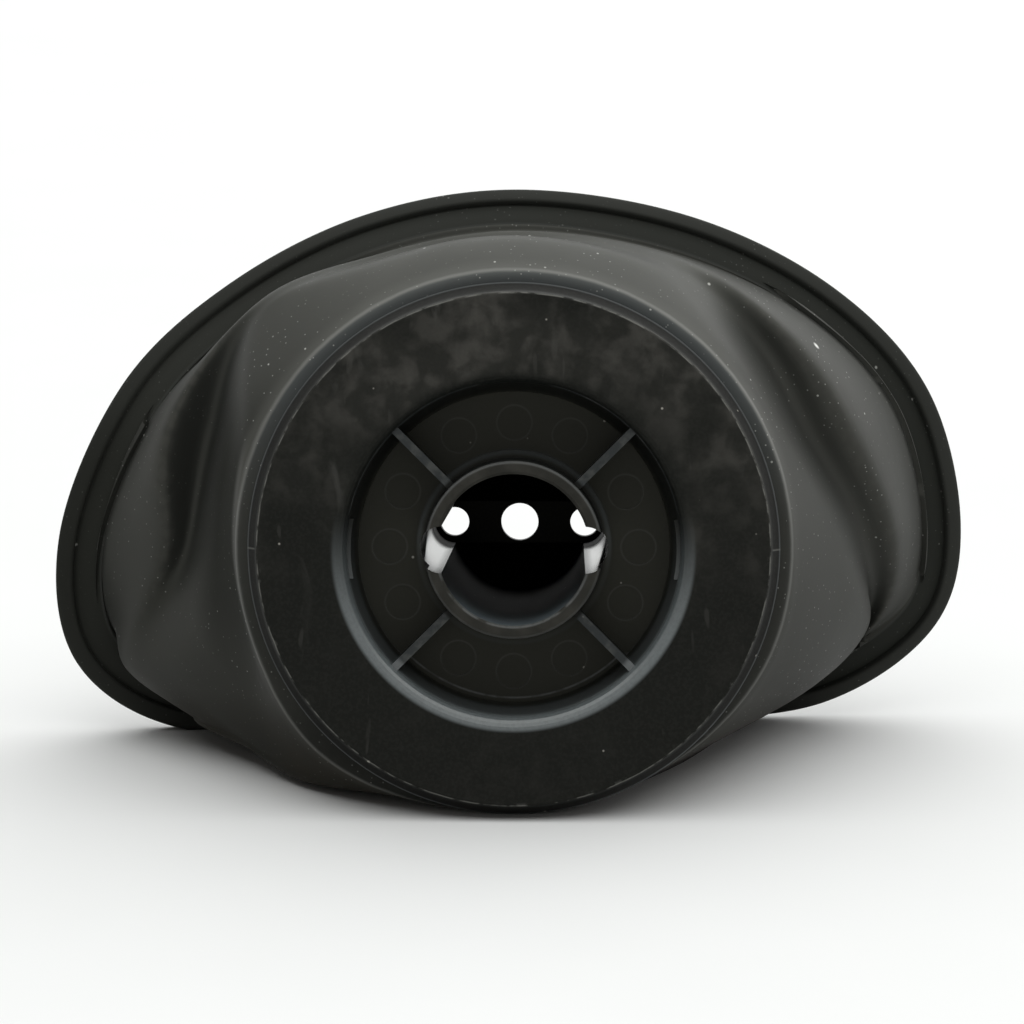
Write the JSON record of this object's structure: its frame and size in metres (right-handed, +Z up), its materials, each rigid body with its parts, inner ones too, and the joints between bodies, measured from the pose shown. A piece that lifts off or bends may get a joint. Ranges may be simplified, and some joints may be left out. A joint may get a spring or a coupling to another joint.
{
  "type": "carburettor diaphragm",
  "caption": "Rubber diaphragm on a moulded vacuum slide with a ribbed pocket and a grooved bore, for a constant-velocity carburettor, lying on its side.",
  "frame": {"origin": "middle of the part in X and Y, on the surface that it lies on", "axes": "+X to the right along the width of the flange, +Y from the disc's face towards the tip of the barrel, +Z up"},
  "size_m": [0.089, 0.0672, 0.0546],
  "materials": {
    "slide_plastic": "black moulded plastic, satin, with worn and smudged edges",
    "rubber": "dark grey moulded rubber, satin on the membrane and matte on the flange"
  },
  "bodies": {
    "root": {"vacuum_slide": "slide_plastic", "diaphragm": "rubber"}
  },
  "joints": []
}
